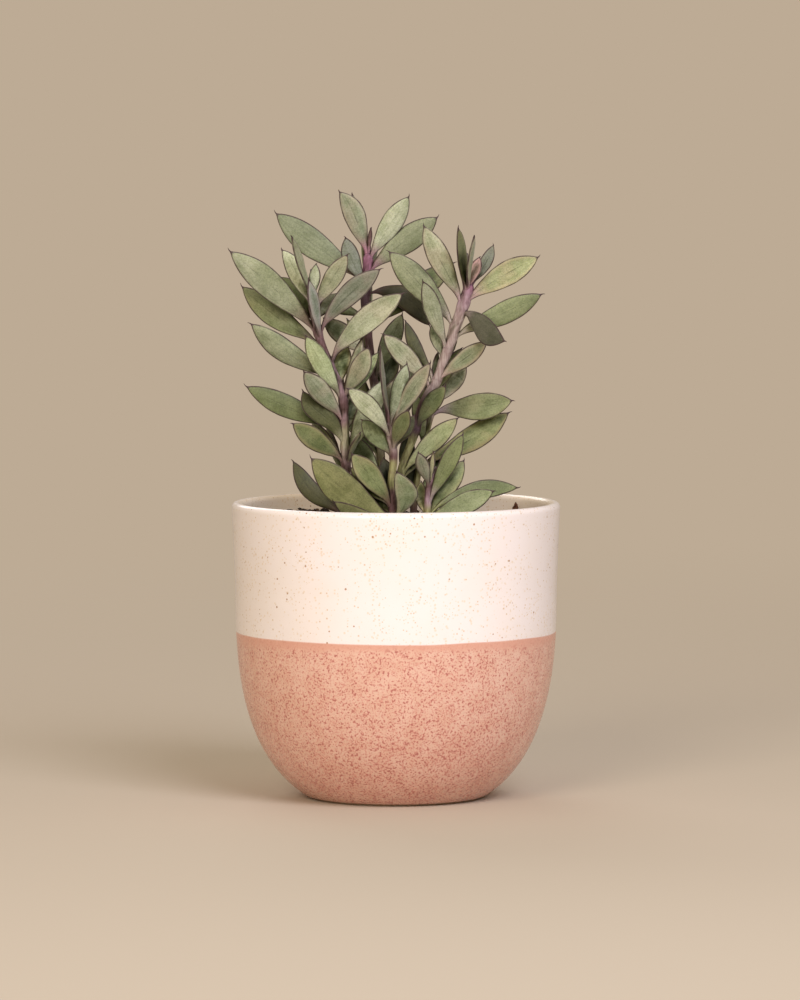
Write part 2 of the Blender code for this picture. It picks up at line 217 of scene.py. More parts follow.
# How rough the pot is, as greys in sRGB bytes.
CREAM_ROUGHNESS = (92, 92, 92)
PINK_ROUGHNESS = (128, 128, 128)
CLAY_ROUGHNESS = (235, 235, 235)

# The studio, in metres: a pale floor that fades into a plain backdrop, and soft lights.
BACKDROP_COLOUR = (189, 171, 149)
FLOOR_COLOUR = (199, 188, 172)
FLOOR_RADIUS = 6.0
FLOOR_SIDES = 96
FLOOR_FADE = (0.35, 1.7)
AMBIENT_COLOUR = (255, 233, 205)
AMBIENT_STRENGTH = 0.4
LIGHTS = (
    # name, place, size, watts, colour
    ("key", (0.95, -1.9, 1.65), 1.5, 46.0, (243, 244, 255)),
    ("front_fill", (-0.9, -2.3, 1.2), 1.2, 32.0, (255, 242, 223)),
    ("back_fill", (-0.6, 1.9, 1.5), 1.6, 13.0, (250, 252, 255)),
)
LIGHT_TARGET = Vector((0.0, 0.0, 0.16))
CAMERA_PLACE = Vector((0.0019, -2.8, 0.332))
CAMERA_TARGET = Vector((0.0019, 0.0, 0.1408))
CAMERA_LENS = 213.8  # in millimetres, like the sensor's height
CAMERA_SENSOR = 36.0


class Leaf(NamedTuple):
    """A leaf from a height on its stem's middle line to a tip.

    bow shifts the middle of the blade to the left of the way it grows, seen from its face, hook
    shifts its outer part the same way, and turn is how far, in degrees, its face looks to the
    right of the front.
    """

    height: float
    tip: tuple
    width: float
    tone: str
    bow: float = 0.0
    hook: float = 0.0
    turn: float = 0.0


class FarLeaf(NamedTuple):
    """A leaf that starts at a height and points away at an azimuth, counted from +X towards +Y."""

    height: float
    azimuth: float
    length: float


class Stem(NamedTuple):
    """A stem with its path of (x, y, z, radius), and its bark's colour at some heights, as sRGB bytes."""

    name: str
    path: tuple
    bark: tuple
    leaves: tuple
    far_leaves: tuple


YELLOW_GREEN = (156, 154, 106)
GREY_GREEN = (168, 164, 136)
LILAC_GREY = (174, 158, 152)
LILAC = (172, 146, 156)
PURPLE_PINK = (160, 112, 136)
PURPLE_BROWN = (112, 84, 84)
DARK_PURPLE = (84, 62, 68)

LEFT = Stem(
    "stem_left",
    path=(
        (-23, -5, 128, 2.2), (-23.3, -5, 150, 2.1), (-23.8, -5, 165, 2.1), (-24.5, -5, 180, 2.1),
        (-25.5, -5, 192, 2.0), (-29.3, -5, 201, 1.9), (-33.3, -5, 210, 1.9), (-36.5, -5, 219, 1.9),
        (-38.8, -5, 229, 1.7), (-39.5, -5, 240, 1.3),
    ),
    bark=(
        (158, PURPLE_BROWN), (163, LILAC_GREY), (168, GREY_GREEN), (174, GREY_GREEN), (179, LILAC),
        (184, PURPLE_BROWN), (200, LILAC), (213, PURPLE_BROWN), (235, LILAC),
    ),
    leaves=(
        Leaf(134.5, (-49.1, 1, 160.4), 8.8, "deep", bow=4.4),
        Leaf(160, (-49.4, -15, 178.5), 10.2, "fern", bow=0.4),
        Leaf(160, (-40, 8, 178.5), 7, "cream", bow=1.6),
        Leaf(158, (-16.6, -16, 174), 6, "green", turn=50),
        Leaf(161, (-5, 2, 199), 11, "sage"),
        Leaf(167, (-43.9, -11, 194.4), 10, "dark", bow=-2.2, hook=3.4),
        Leaf(172, (-19, 6, 192), 7, "pale"),
        Leaf(176, (-72.1, 0, 195.3), 11, "fern", bow=1.6),
        Leaf(179, (-43.8, -24, 203.4), 10, "pale"),
        Leaf(186, (-7.6, 4, 211.5), 6.5, "spring"),
        Leaf(189, (-42.8, -18, 220.2), 9.5, "spring", bow=0.3),
        Leaf(190, (-12.5, -16, 214.5), 9.5, "pale", bow=-1.2),
        Leaf(194, (-22.3, 3, 213.6), 8, "lime", bow=1.5),
        Leaf(192, (-15.4, -6, 219), 5, "cream", bow=-0.8),
        Leaf(199, (-69.3, -12, 225.7), 11, "moss", bow=2.5),
        Leaf(207.5, (4.7, -18, 240), 12, "sage", bow=2),
        Leaf(215, (-73.9, 6, 242.6), 11.6, "green", bow=2.2),
        Leaf(217, (-41.2, -20, 246.6), 7, "blue", turn=40),
        Leaf(221, (-6.2, -8, 251), 10.5, "slate", bow=1.8),
        Leaf(221, (-79.3, -14, 259.8), 13.2, "pale", bow=-1),
        Leaf(226, (-55.5, 12, 246.5), 10, "fern"),
        Leaf(226, (-28, 8, 238.5), 6.5, "sage"),
        Leaf(231, (-22.2, -14, 258), 9, "pale"),
        Leaf(233, (-54.5, -8, 260), 8.5, "cream", hook=-1.2),
        Leaf(235, (-49, -27, 267), 6, "pale", turn=62),
        Leaf(236, (-37.5, -7, 253.2), 5.5, "cream"),
    ),
    far_leaves=(
        FarLeaf(150, 115, 34), FarLeaf(172, 125, 36), FarLeaf(186, 100, 30), FarLeaf(208, 110, 38),
        FarLeaf(228, 95, 30),
    ),
)

BACK = Stem(
    "stem_back",
    path=(
        (-6, 18, 128, 2.0), (-7, 18, 160, 1.9), (-9, 18, 180, 1.9), (-11, 18, 200, 1.9),
        (-13, 18, 216, 1.9), (-14, 18, 225, 2.0), (-14.8, 18, 235, 2.1), (-14.2, 18, 245, 2.2),
        (-13.3, 18, 253, 2.2), (-13, 18, 258.5, 1.9),
    ),
    bark=(
        (132, PURPLE_BROWN), (150, YELLOW_GREEN), (180, LILAC_GREY), (205, PURPLE_BROWN),
        (240, DARK_PURPLE), (249, PURPLE_PINK), (256, PURPLE_PINK),
    ),
    leaves=(
        Leaf(143, (-21, 10, 172), 10, "spring"),
        Leaf(172, (2, 8, 200), 10, "cream"),
        Leaf(185, (0, 28, 213), 10, "moss"),
        Leaf(197, (3.5, 8, 229.5), 9.5, "moss"),
        Leaf(208, (-35, 12, 226.5), 10, "cream"),
        Leaf(222, (28.8, 24, 253.2), 12, "fern"),
        Leaf(227, (-38, 8, 237), 7, "green", bow=0.8),
        Leaf(239, (16.5, 12, 221.5), 11.5, "shade", bow=6.8),
        Leaf(242, (-24, 6, 265.5), 8.5, "blue", bow=1.5),
        Leaf(245, (-58.3, 24, 276.8), 13.7, "moss", bow=1.6),
        Leaf(249, (20.8, 14, 274.9), 12.3, "moss"),
        Leaf(254, (6.8, 12, 284.9), 10.5, "cream"),
        Leaf(256, (-27.8, 14, 286.9), 10.5, "pale", bow=-1.2, hook=-1.4),
        Leaf(257, (-21.2, 24, 285.8), 7, "moss", turn=60),
        Leaf(257, (-11.8, 14, 269.5), 2.2, "pink"),
        Leaf(256, (-13.6, 18, 264.5), 2.2, "pink"),
    ),
    far_leaves=(
        FarLeaf(146, 100, 34), FarLeaf(160, 160, 32), FarLeaf(168, 40, 34), FarLeaf(184, 135, 38),
        FarLeaf(198, 120, 38), FarLeaf(208, 115, 30), FarLeaf(222, 85, 30), FarLeaf(236, 75, 38),
        FarLeaf(246, 95, 32),
    ),
)

RIGHT = Stem(
    "stem_right",
    path=(
        (-1, -2, 128, 2.0), (0.5, -2, 145, 1.8), (3, -2, 157, 1.8), (6.5, -2, 166, 1.9),
        (9.3, -2, 174, 2.1), (12, -2, 184, 2.1), (15.3, -2, 191, 2.2), (18.4, -2, 196, 2.2),
        (22.4, -2, 206, 2.3), (26.8, -2, 219.5, 2.5), (31.3, -2, 232, 2.7), (34.4, -2, 242, 2.3),
        (35.3, -2, 245.5, 1.5),
    ),
    bark=(
        (132, PURPLE_BROWN), (150, YELLOW_GREEN), (169, YELLOW_GREEN), (174, DARK_PURPLE),
        (186, PURPLE_BROWN), (196, LILAC_GREY), (226, LILAC_GREY), (236, LILAC), (243, PURPLE_PINK),
    ),
    leaves=(
        Leaf(154.5, (30, -10, 181), 9.5, "lime"),
        Leaf(175, (23.9, -14, 196.2), 8.5, "fern", bow=0.8),
        Leaf(193, (20, 8, 211), 6, "sage", turn=60),
        Leaf(195, (-6.8, -10, 220.4), 9.5, "sage"),
        Leaf(198, (4.2, 0, 226.5), 6.3, "deep", bow=1.8),
        Leaf(198, (43.8, -6, 216.5), 8.5, "moss"),
        Leaf(203, (29, 6, 220), 4.5, "olive"),
        Leaf(207, (16.3, 4, 223.5), 5.5, "sage"),
        Leaf(212.5, (12, -20, 245.8), 8.6, "sage", bow=0.8, hook=-0.9),
        Leaf(219, (70.1, 0, 238.8), 11, "green", bow=-0.7),
        Leaf(224, (-4.3, -6, 259.4), 13, "moss", bow=-0.2),
        Leaf(231.5, (52.2, -22, 217), 11, "dusk", hook=-2.8),
        Leaf(234, (12.4, -12, 271.8), 10.6, "sage", bow=0.5),
        Leaf(235, (68.2, -6, 256.3), 11.8, "lime", bow=1),
        Leaf(238, (29, -20, 270.8), 8, "fern", turn=50),
        Leaf(240, (36.8, -24, 267), 8, "pale", bow=0.8, turn=65),
        Leaf(241, (39.6, -5, 256.3), 5.5, "rose"),
        Leaf(242, (46.3, 6, 261.8), 6, "slate", bow=-1.2),
    ),
    far_leaves=(
        FarLeaf(150, 25, 30), FarLeaf(188, 40, 34), FarLeaf(206, 95, 36), FarLeaf(220, 70, 32),
        FarLeaf(234, 85, 32),
    ),
)

MID = Stem(
    "stem_mid",
    path=(
        (-1.5, -15, 128, 1.75), (-1.5, -15, 137, 1.75), (-2.2, -15, 150, 1.75),
        (-1, -15, 160, 1.75), (-1.5, -15, 166, 1.7), (-3.2, -15, 175, 1.6), (-3.5, -15, 182, 1.3),
    ),
    bark=(
        (133, YELLOW_GREEN), (137, PURPLE_BROWN), (146, PURPLE_BROWN), (149, YELLOW_GREEN),
        (159, YELLOW_GREEN), (162, PURPLE_BROWN), (168, LILAC_GREY), (182, PURPLE_BROWN),
    ),
    leaves=(
        Leaf(132.5, (-40.8, -26, 163.4), 16, "olive", bow=2.7),
        Leaf(133, (-30, -46, 144), 7.5, "olive", bow=3.2),
        Leaf(133, (-0.5, -30, 157), 11, "spring", bow=-6),
        Leaf(135, (-16, -8, 151), 9, "dark"),
        Leaf(139, (-22, -18, 158), 9, "spring"),
        Leaf(139, (-21.5, -28, 165), 11, "fresh", bow=-0.6),
        Leaf(140, (-6, -8, 162), 8, "shade"),
        Leaf(162.5, (-16.5, -11, 180), 9, "green"),
        Leaf(166, (9, -14, 182), 7, "deep"),
        Leaf(166, (6.3, -28, 185.5), 8, "fern", bow=0.6),
        Leaf(172, (-23.5, -29, 195.6), 9.4, "cream", bow=-1.8),
        Leaf(176, (16.8, -27, 208), 8.5, "pale"),
        Leaf(177, (5.5, -22, 207.5), 8, "sage"),
        Leaf(179, (-7.4, -34, 215), 8, "slate", turn=75),
    ),
    far_leaves=(),
)

FRONT_RIGHT = Stem(
    "stem_front_right",
    path=(
        (14.5, -22, 128, 1.5), (14.8, -22, 140, 1.5), (15.2, -22, 147.5, 1.4),
        (16.3, -22, 151, 1.35), (18.8, -22, 158, 1.2),
    ),
    bark=(
        (137, YELLOW_GREEN), (142, LILAC), (149, PURPLE_BROWN), (156, LILAC),
    ),
    leaves=(
        Leaf(134, (46.8, -30, 147.6), 10.2, "lime", bow=-0.3),
        Leaf(134.5, (12, -12, 151), 6, "spring", bow=1.5),
        Leaf(135, (32.6, -16, 161.5), 10, "fresh"),
        Leaf(137, (59, -8, 147), 9, "green", bow=4),
        Leaf(141, (32, -24, 174.6), 8.5, "fern"),
        Leaf(149, (10.2, -34, 166), 6.3, "pale"),
        Leaf(150, (17.6, -27, 166), 2.8, "lime"),
    ),
    far_leaves=(),
)

BACK_RIGHT = Stem(
    "stem_back_right",
    path=(
        (8, 10, 128, 1.6), (10, 10, 150, 1.6), (13.5, 10, 168, 1.6), (16.5, 10, 180, 1.5),
        (19, 10, 188, 1.3),
    ),
    bark=(
        (132, PURPLE_BROWN), (150, YELLOW_GREEN), (172, YELLOW_GREEN), (186, LILAC),
    ),
    leaves=(
        Leaf(138, (4, 14, 172), 9, "deep"),
        Leaf(158, (54.8, 14, 182.5), 12, "fresh", bow=-2.3),
        Leaf(178, (2, 16, 212), 9, "sage"),
        Leaf(166, (9.5, 5, 192), 7, "spring"),
        Leaf(183.5, (56.3, 4, 188), 13, "green", bow=-1.4),
        Leaf(185, (34, 12, 203.8), 8, "sage"),
    ),
    far_leaves=(
        FarLeaf(142, 20, 36), FarLeaf(152, 110, 32), FarLeaf(168, 82, 34), FarLeaf(182, 110, 32),
    ),
)

STEMS = (LEFT, BACK, RIGHT, MID, FRONT_RIGHT, BACK_RIGHT)


def linear(colour):
    """A colour given as sRGB bytes, as the linear values that Blender's sockets take."""
    shares = (channel / 255 for channel in colour)
    return tuple(c / 12.92 if c <= 0.04045 else ((c + 0.055) / 1.055) ** 2.4 for c in shares)


def smooth_step(low, high, value):
    share = min(max((value - low) / (high - low), 0.0), 1.0)
    return share * share * (3 - 2 * share)


def angles(count, shift=0.0):
    """Angles once round in even steps, the first of them shifted by a share of a step."""
    return [2 * math.pi * (step + shift) / count for step in range(count)]


def around(radius, angle, height):
    return Vector((radius * math.cos(angle), radius * math.sin(angle), height))


class Look:
    """A material that is built up from nodes, with short calls for the kinds that repeat."""

    def __init__(self, name):
        self.material = bpy.data.materials.new(name)
        self.material.use_nodes = True
        self.tree = self.material.node_tree
        self.shader = self.tree.nodes["Principled BSDF"]

    def feed(self, socket, source):
        """Links a socket to another, or sets it to a number, a vector or a colour in sRGB bytes."""
        if isinstance(source, bpy.types.NodeSocket):
            self.tree.links.new(source, socket)
        elif socket.type == "RGBA":
            socket.default_value = (*linear(source), 1.0)
        else:
            socket.default_value = source

    def node(self, kind, inputs=(), **settings):
        node = self.tree.nodes.new(kind)
        for name, setting in settings.items():
            setattr(node, name, setting)
        for name, source in dict(inputs).items():
            self.feed(node.inputs[name], source)
        return node

    def maths(self, operation, first, second=0.0):
        return self.node("ShaderNodeMath", {0: first, 1: second}, operation=operation).outputs[0]

    def plus(self, first, second):
        return self.maths("ADD", first, second)

    def minus(self, first, second):
        return self.maths("SUBTRACT", first, second)

    def times(self, first, second):
        return self.maths("MULTIPLY", first, second)

    def mix(self, share, first, second, blend="MIX"):
        inputs = {"Fac": share, "Color1": first, "Color2": second}
        return self.node("ShaderNodeMixRGB", inputs, blend_type=blend).outputs[0]

    def step(self, low, high, source, to_low=0.0, to_high=1.0):
        """A smooth step from to_low, where the source is at low, to to_high, where it is at high."""
        inputs = {"Value": source, 1: low, 2: high, 3: to_low, 4: to_high}
        return self.node("ShaderNodeMapRange", inputs, interpolation_type="SMOOTHSTEP").outputs[0]

    def noise(self, place, size, detail=2.0, roughness=0.5):
        """Noise whose features are about size millimetres wide."""
        inputs = {"Vector": place, "Scale": 1 / (size * MM), "Detail": detail, "Roughness": roughness}
        return self.node("ShaderNodeTexNoise", inputs).outputs[0]

    def split(self, vector):
        return self.node("ShaderNodeSeparateXYZ", {"Vector": vector}).outputs

    def joined(self, **parts):
        return self.node("ShaderNodeCombineXYZ", parts).outputs[0]

    def length(self, vector):
        return self.node("ShaderNodeVectorMath", {0: vector}, operation="LENGTH").outputs["Value"]

    def place(self):
        """Where a point is on the part at rest."""
        return self.node("ShaderNodeTexCoord").outputs["Object"]

    def attribute(self, name, output="Fac"):
        return self.node("ShaderNodeAttribute", attribute_name=name).outputs[output]

    def bump(self, height, strength, distance):
        """Raises the surface by up to distance millimetres where height is 1."""
        inputs = {"Height": height, "Strength": strength, "Distance": distance * MM}
        self.feed(self.shader.inputs["Normal"], self.node("ShaderNodeBump", inputs).outputs["Normal"])

    def finish(self, colour, roughness, **sockets):
        for name, source in {"Base_Color": colour, "Roughness": roughness, **sockets}.items():
            self.feed(self.shader.inputs[name.replace("_", " ")], source)
        return self.material


def specks(look, place, size, radius, share, clusters):
    """Round specks: radius is a share of the cells' size, and share is how many cells have one."""
    cells = look.node("ShaderNodeTexVoronoi", {"Vector": place, "Scale": 1 / (size * MM)}).outputs
    chance, big, _ = look.split(cells["Color"])
    spot = look.step(1.0, 0.55, look.maths("DIVIDE", cells["Distance"], look.times(big, radius)))
    return look.times(spot, look.maths("LESS_THAN", chance, look.times(clusters, share)))


def cream_glaze(look, place):
    """Cream with clusters of tan specks, and painted warm shade on the wall inside the pot."""
    side_way, depth_way, height = look.split(place)
    colour = look.mix(look.step(0.35, 0.7, look.noise(place, 38, 3)), *CREAM_GLAZE)
    clusters = look.step(0.40, 0.62, look.noise(place, 16, 2), 0.35, 1.0)
    for size, radius, share, strength, tan in CREAM_SPECKS:
        spots = specks(look, place, size, radius, share, clusters)
        colour = look.mix(look.times(spots, strength), colour, tan)
    reach = look.length(look.joined(X=side_way, Y=depth_way))
    # Painted shade: the inner wall is tinted warmer and darker.
    inside = look.step((RIM_RADIUS - WALL * 0.4) * MM, (RIM_RADIUS - WALL * 0.8) * MM, reach)
    inside = look.times(inside, look.step(110 * MM, 112 * MM, height))
    return look.mix(inside, colour, INSIDE_PAINTED_SHADE, "MULTIPLY")


def pink_glaze(look, place, grain, height, line):
    """Pink peppered with red, more so towards the foot, and plainer in a band under the cream."""
    low = look.step(66 * MM, 10 * MM, height)
    patch = look.noise(place, 9, 2)
    pepper = look.maths("MAXIMUM", grain, look.noise(place, 0.95, 0))
    pepper = look.plus(pepper, look.times(look.minus(patch, 0.5), 0.14))
    pepper = look.plus(pepper, look.times(low, 0.035))
    colour = look.mix(look.step(0.35, 0.65, patch), *PINK_GLAZE)
    colour = look.mix(look.step(0.55, 0.63, pepper, 0.0, 0.62), colour, PINK_PEPPER)
    colour = look.mix(look.step(0.66, 0.74, pepper, 0.0, 0.75), colour, RED_PEPPER)
    colour = look.mix(look.times(low, 0.05), colour, LOW_RED)
    side = look.maths("ABSOLUTE", look.maths("DIVIDE", look.split(place)[0], RIM_RADIUS * MM))
    width = look.plus(look.times(side, 2.0), 1.2)
    width = look.plus(width, look.times(look.noise(place, 6, 2), 1.8))
    drop = look.maths("DIVIDE", look.minus(line, height), look.times(width, MM))
    return look.mix(look.times(look.step(1.7, 0.5, drop), 0.85), colour, PINK_BAND)


def glaze_material():
    """Cream glaze over mottled pink glaze, with a wavering line between, and bare clay under the foot."""
    look = Look("pot_glaze")
    place = look.place()
    foot_height = look.split(place)[2]
    wobble = look.times(look.noise(place, 45, 1), GLAZE_LINE_WOBBLE * MM)
    height = look.plus(foot_height, wobble)
    line = (GLAZE_LINE_HEIGHT + GLAZE_LINE_WOBBLE / 2) * MM
    is_cream = look.step(line - 0.35 * MM, line + 0.4 * MM, height)
    is_clay = look.step(1.0 * MM, 0.6 * MM, foot_height)
    grain = look.noise(place, 0.72, 1)
    pink = pink_glaze(look, place, grain, height, line)
    colour = look.mix(is_cream, pink, cream_glaze(look, place))
    colour = look.mix(is_clay, colour, BARE_CLAY)
    roughness = look.mix(is_clay, look.mix(is_cream, PINK_ROUGHNESS, CREAM_ROUGHNESS), CLAY_ROUGHNESS)
    roughness = look.plus(roughness, look.times(look.noise(place, 6, 2), 0.12))
    skin = look.times(look.noise(place, 3.5, 2), 0.35)
    pits = look.times(look.minus(1.0, is_cream), grain)
    look.bump(look.plus(skin, look.times(pits, 0.5)), 0.35, 0.25)
    return look.finish(colour, roughness, Coat_Weight=0.12, Coat_Roughness=0.25)


def soil_material(name):
    """Dark potting mix whose crumbs vary through the attribute tone."""
    look = Look(name)
    place = look.place()
    grain = look.noise(place, 1.1, 5, 0.7)
    colour = look.mix(look.step(0.35, 0.7, grain), look.attribute("tone", "Color"), SOIL_GRAIN, "MULTIPLY")
    stains = look.step(0.62, 0.8, look.noise(place, 2.7, 3), 0.0, 0.5)
    colour = look.mix(stains, colour, SOIL_STAIN)
    look.bump(grain, 0.8, 0.6)
    return look.finish(colour, 0.95, Specular_IOR_Level=0.25)


def leaf_streaks(look, along, across, chance):
    """Noise that is drawn out along the blade, and is another one on each leaf."""
    place = look.joined(X=look.times(along, 2.2), Y=look.times(across, 5.0), Z=look.times(chance, 60.0))
    return look.node("ShaderNodeTexNoise", {"Vector": place, "Scale": 1.0, "Detail": 3.0}).outputs[0]


def leaf_veins(look, place, along, across):
    """Broken veins that run along the blade, with the strongest in its middle."""
    lane = look.plus(across, look.times(look.noise(place, 12, 2), 0.22))
    stripe = look.maths("ABSOLUTE", look.maths("SINE", look.times(lane, 8.6)))
    middle = look.step(0.07, 0.0, look.maths("ABSOLUTE", across))
    vein = look.maths("MAXIMUM", look.times(look.step(0.2, 0.0, stripe), 0.5), middle)
    broken = look.step(0.4, 0.62, look.noise(place, 5, 2))
    return look.times(vein, look.times(broken, look.step(0.98, 0.6, along)))


def leaf_edge(look, place, along, inset):
    """The dark line round the blade: wider towards its tip, and worn away here and there."""
    reach = look.step(0.1, 0.8, along, 0.5, 0.8)
    edge = look.step(1.0, 0.4, look.maths("DIVIDE", inset, reach))
    edge = look.times(edge, look.step(0.04, 0.14, along))
    return look.times(edge, look.step(0.34, 0.6, look.noise(place, 5, 2), 0.6, 0.96))


def leaf_material():
    """A waxy leaf: blotched, faintly veined, with a purple margin, point and stalk.

    The attribute blade holds the share along the blade, the share across it from -1 to 1, and the
    distance from its margin in millimetres. tone is the leaf's colour with painted shade in it, chance a
    random share, and open how open to the sky a point is, which its gloss depends on.
    """
    look = Look("leaf_green")
    place = look.place()
    along, across, inset = look.split(look.attribute("blade", "Vector"))
    chance = look.attribute("chance")
    tone = look.attribute("tone", "Color")
    light = look.mix(1.0, tone, tone, "SCREEN")
    pinkish = look.mix(1.0, light, LEAF_BLUSH, "MULTIPLY")

    cloud = look.noise(place, 8, 3, 0.6)
    deep = look.mix(1.0, tone, LEAF_DEEP, "MULTIPLY")
    colour = look.mix(look.step(0.32, 0.62, cloud), deep, tone)
    streak = leaf_streaks(look, along, across, chance)
    colour = look.mix(look.step(0.56, 0.36, streak, 0.0, 0.36), colour, LEAF_STREAK, "MULTIPLY")
    blush = look.step(0.46, 0.66, look.noise(place, 12, 2), 0.0, 0.32)
    colour = look.mix(look.times(blush, look.step(0.2, 0.8, chance)), colour, pinkish)
    pale = look.step(0.6, 0.16, along, 0.0, 0.2)
    colour = look.mix(look.times(pale, look.step(0.8, 0.3, chance)), colour, light)

    vein = leaf_veins(look, place, along, across)
    vein_share = look.times(vein, look.step(0.1, 1.0, chance, 0.3, 0.85))
    colour = look.mix(vein_share, colour, LEAF_VEIN, "MULTIPLY")
    fine = look.noise(place, 0.7, 3, 0.7)
    colour = look.mix(look.step(0.47, 0.62, fine, 0.0, 0.34), colour, LEAF_MOTTLE, "MULTIPLY")
    colour = look.mix(look.step(0.46, 0.34, fine, 0.0, 0.1), colour, light)
    spots = specks(look, place, 4.5, 0.13, 0.25, look.step(0.45, 0.7, cloud))
    colour = look.mix(look.times(spots, 0.7), colour, LEAF_SPOT, "MULTIPLY")

    # The pale pinkish rim inside the margin is partly the leaf's blush and partly a painted highlight
    # where the rounded margin catches light.
    rim = look.step(2.4, 0.8, inset, 0.0, 0.4)
    colour = look.mix(look.times(rim, look.step(0.35, 0.9, chance)), colour, pinkish)
    colour = look.mix(leaf_edge(look, place, along, inset), colour, LEAF_MARGIN)
    point = look.step(0.925, 0.955, along)
    colour = look.mix(look.times(point, 0.92), colour, LEAF_POINT)

    relief = look.minus(look.times(cloud, 0.6), look.times(vein, 0.35))
    look.bump(look.plus(relief, look.times(fine, 0.12)), 0.4, 0.5)
    sky = look.attribute("open")
    return look.finish(
        colour,
        look.step(0.3, 0.7, cloud, 0.5, 0.64),
        Specular_IOR_Level=look.times(sky, 0.45),
        Sheen_Weight=look.times(sky, 0.14),
        Sheen_Roughness=0.5,
        Subsurface_Weight=0.08,
        Subsurface_Radius=(1.2 * MM, 1.6 * MM, 0.5 * MM),
        Subsurface_Scale=1.0,
    )


def bark_material():
    """A stem: its colour comes from the attribute tone, with fine streaks and stains along it."""
    look = Look("stem_bark")
    place = look.place()
    tone = look.attribute("tone", "Color")
    drawn_out = look.node("ShaderNodeVectorMath", {0: place, 1: (1.0, 1.0, 0.16)}, operation="MULTIPLY")
    streaks = look.noise(drawn_out.outputs[0], 0.9, 3)
    deep = look.mix(1.0, tone, BARK_DEEP, "MULTIPLY")
    colour = look.mix(look.step(0.4, 0.62, streaks), deep, tone)
    stains = look.step(0.55, 0.72, look.noise(place, 3.2, 3), 0.0, 0.25)
    colour = look.mix(stains, colour, BARK_STAIN)
    look.bump(streaks, 0.5, 0.35)
    return look.finish(colour, 0.6, Specular_IOR_Level=look.times(look.attribute("open"), 0.35))


def floor_material():
    """A matt floor that fades out towards its edge."""
    look = Look("floor")
    fade = look.step(FLOOR_FADE[1], FLOOR_FADE[0], look.length(look.place()))
    return look.finish(FLOOR_COLOUR, 0.9, Specular_IOR_Level=0.0, Alpha=fade)


def new_object(name, data):
    obj = bpy.data.objects.new(name, data)
    bpy.context.scene.collection.objects.link(obj)
    return obj


def make_piece(name, points, faces, materials):
    """A smooth shaded mesh object from points in millimetres."""
    mesh = bpy.data.meshes.new(name)
    mesh.from_pydata([point * MM for point in points], [], faces)
    for material in materials:
        mesh.materials.append(material)
    mesh.shade_smooth()
    return new_object(name, mesh)


def ready(piece, slot, *nodes):
    """Makes a piece ride on the root and hides the parts that it stands for; slot is not used."""
    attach(piece, "root")
    if nodes:
        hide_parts(*nodes)


def add_attribute(piece, name, kind, field, values):
    """Gives each point of a piece its own values, for its material to read by name."""
    layer = piece.data.attributes.new(name, kind, "POINT")
    layer.data.foreach_set(field, values)


def add_tones(piece, colours):
    """Gives each point of a piece a colour, as linear values."""
    channels = [channel for colour in colours for channel in (*colour, 1.0)]
    add_attribute(piece, "tone", "FLOAT_COLOR", "color", channels)


def ring_faces(rings, sides, first=0):
    """Quads between rings of points, each ring with the same number of sides."""
    return [
        (
            first + ring * sides + side,
            first + ring * sides + (side + 1) % sides,
            first + (ring + 1) * sides + (side + 1) % sides,
            first + (ring + 1) * sides + side,
        )
        for ring in range(rings - 1)
        for side in range(sides)
    ]


def tube_faces(rings, sides, first=0):
    """The faces of a tube of rings with both ends closed."""
    last = first + (rings - 1) * sides
    ends = [tuple(range(first + sides - 1, first - 1, -1)), tuple(range(last, last + sides))]
    return ring_faces(rings, sides, first) + ends


def wall_radius(height, inset=0.0):
    """The outer wall's radius at a height, or that of the same wall moved in by inset."""
    if height >= BELLY_HEIGHT:
        rise = (height - BELLY_HEIGHT) / (POT_HEIGHT - BELLY_HEIGHT)
        return BELLY_RADIUS - inset + (RIM_RADIUS - BELLY_RADIUS) * rise
    drop = (BELLY_HEIGHT - height) / (BOWL_DEPTH - inset)
    return (BELLY_RADIUS - inset) * (1 - drop**BOWL_POWER) ** (1 / BOWL_POWER)


def wall_heights(bottom, top):
    """Heights from a top above the belly down to a bottom, closer where the bowl curves in."""
    straight = [top + (BELLY_HEIGHT - top) * step / WALL_POINTS for step in range(WALL_POINTS)]
    bowl = [
        BELLY_HEIGHT - (BELLY_HEIGHT - bottom) * math.sin(math.pi / 2 * step / BOWL_POINTS)
        for step in range(BOWL_POINTS + 1)
    ]
    return straight + bowl


def turned_piece(name, profile, steps, shift, material):
    """A piece from (radius, height) points turned round the axis; shift(point) is added to each."""
    points = []
    for radius, height in profile:
        for angle in angles(steps):
            point = around(radius, angle, height)
            points.append(point + shift(point))
    faces = [tuple(reversed(face)) for face in tube_faces(len(profile), steps)]
    return make_piece(name, points, faces, [material])


def hand_thrown(point):
    """The slight unevenness of a pot that was turned by hand."""
    outward = Vector((point.x, point.y, 0.0)).normalized()
    swell = sum(noise.noise(point / length) * height for length, height in THROWN_WAVES)
    return outward * (swell * smooth_step(0.0, 12.0, point.z))


